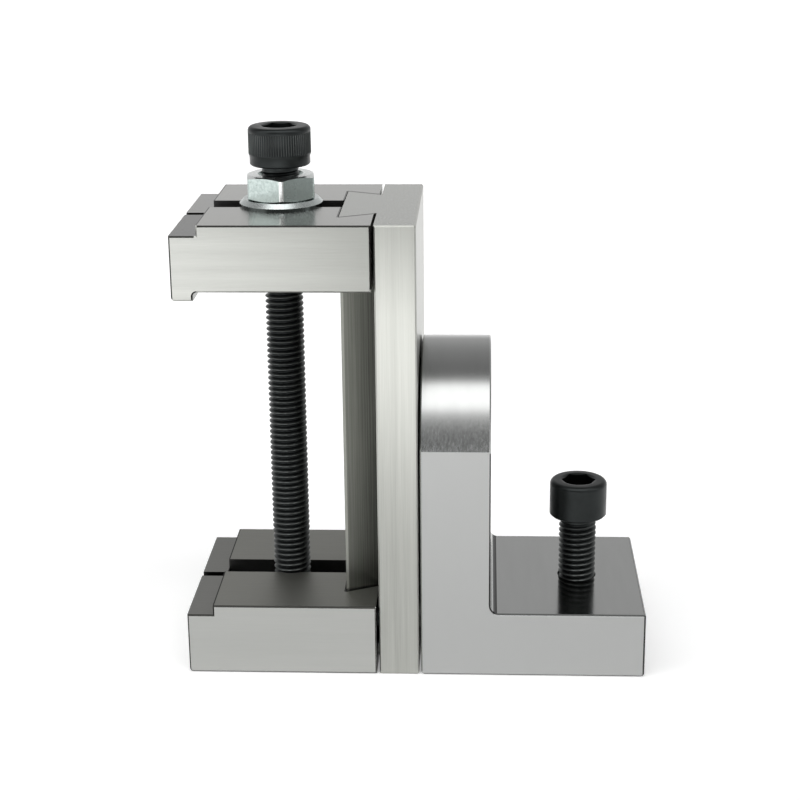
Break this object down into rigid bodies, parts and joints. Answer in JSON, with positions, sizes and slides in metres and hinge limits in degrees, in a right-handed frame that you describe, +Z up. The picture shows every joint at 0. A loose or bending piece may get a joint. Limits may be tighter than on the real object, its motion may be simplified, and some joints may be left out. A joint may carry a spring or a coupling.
{
  "type": "wire edm vise",
  "caption": "Upright dovetail rail with a fixed lower jaw, a sliding upper jaw pressed down by a nut on a long cap screw, and an L bracket with a round swivel head and a screwed foot.",
  "frame": {"origin": "centre of the rail's lower end face, which stands level with the undersides of the fixed jaw and the bracket's foot", "axes": "+Z up along the rail, +X from the rail towards the bracket's foot, so the jaws reach out along -X, +Y across the width"},
  "size_m": [0.1195, 0.054, 0.1403],
  "materials": {
    "rail_steel": "stainless steel, ground with a fine grain along the rail",
    "jaw_steel": "stainless steel, ground sides and lapped faces",
    "bracket_steel": "stainless steel, fine ground, the foot's top nearly mirror bright",
    "black_oxide": "blackened alloy steel, lightly oiled",
    "zinc_plate": "bright zinc plate with a faint blue-green tint",
    "dowel_steel": "ground pin"
  },
  "bodies": {
    "bracket": {"bracket": "bracket_steel"},
    "vise": {"rail": "rail_steel", "fixed_jaw": "jaw_steel", "pivot_screw": "black_oxide", "fixing_screw_front": "black_oxide", "fixing_screw_back": "black_oxide", "jaw_dowel_front": "dowel_steel", "jaw_dowel_back": "dowel_steel"},
    "jaw": {"moving_jaw": "jaw_steel", "clamp_washer": "zinc_plate"},
    "nut": {"clamp_nut": "zinc_plate"},
    "clamp_screw": {"clamp_screw": "black_oxide"},
    "mounting_screw": {"mounting_screw": "black_oxide"}
  },
  "joints": [
    {"name": "vise_swivel", "type": "hinge", "parent": "bracket", "child": "vise", "pos_m": [0.0052, 0, 0.0567], "axis": [1, 0, 0], "range_deg": [-90, 90]},
    {"name": "jaw_slide", "type": "slide", "parent": "vise", "child": "jaw", "axis": [0, 0, 1], "range_m": [-0.0841, 0.0022]},
    {"name": "nut_turn", "type": "hinge", "parent": "jaw", "child": "nut", "pos_m": [-0.0305, 0, 0.125], "axis": [0, 0, 1], "range_deg": [-20184, 528]},
    {"name": "clamp_screw_turn", "type": "hinge", "parent": "vise", "child": "clamp_screw", "pos_m": [-0.0305, 0, 0.07], "axis": [0, 0, 1], "continuous": true},
    {"name": "mounting_screw_slide", "type": "slide", "parent": "bracket", "child": "mounting_screw", "axis": [0, 0, 1], "range_m": [-0.0175, 0.036]}
  ],
  "couplings": [
    {"joint": "nut_turn", "follows": "jaw_slide", "rad_per_m": 4188.8}
  ]
}
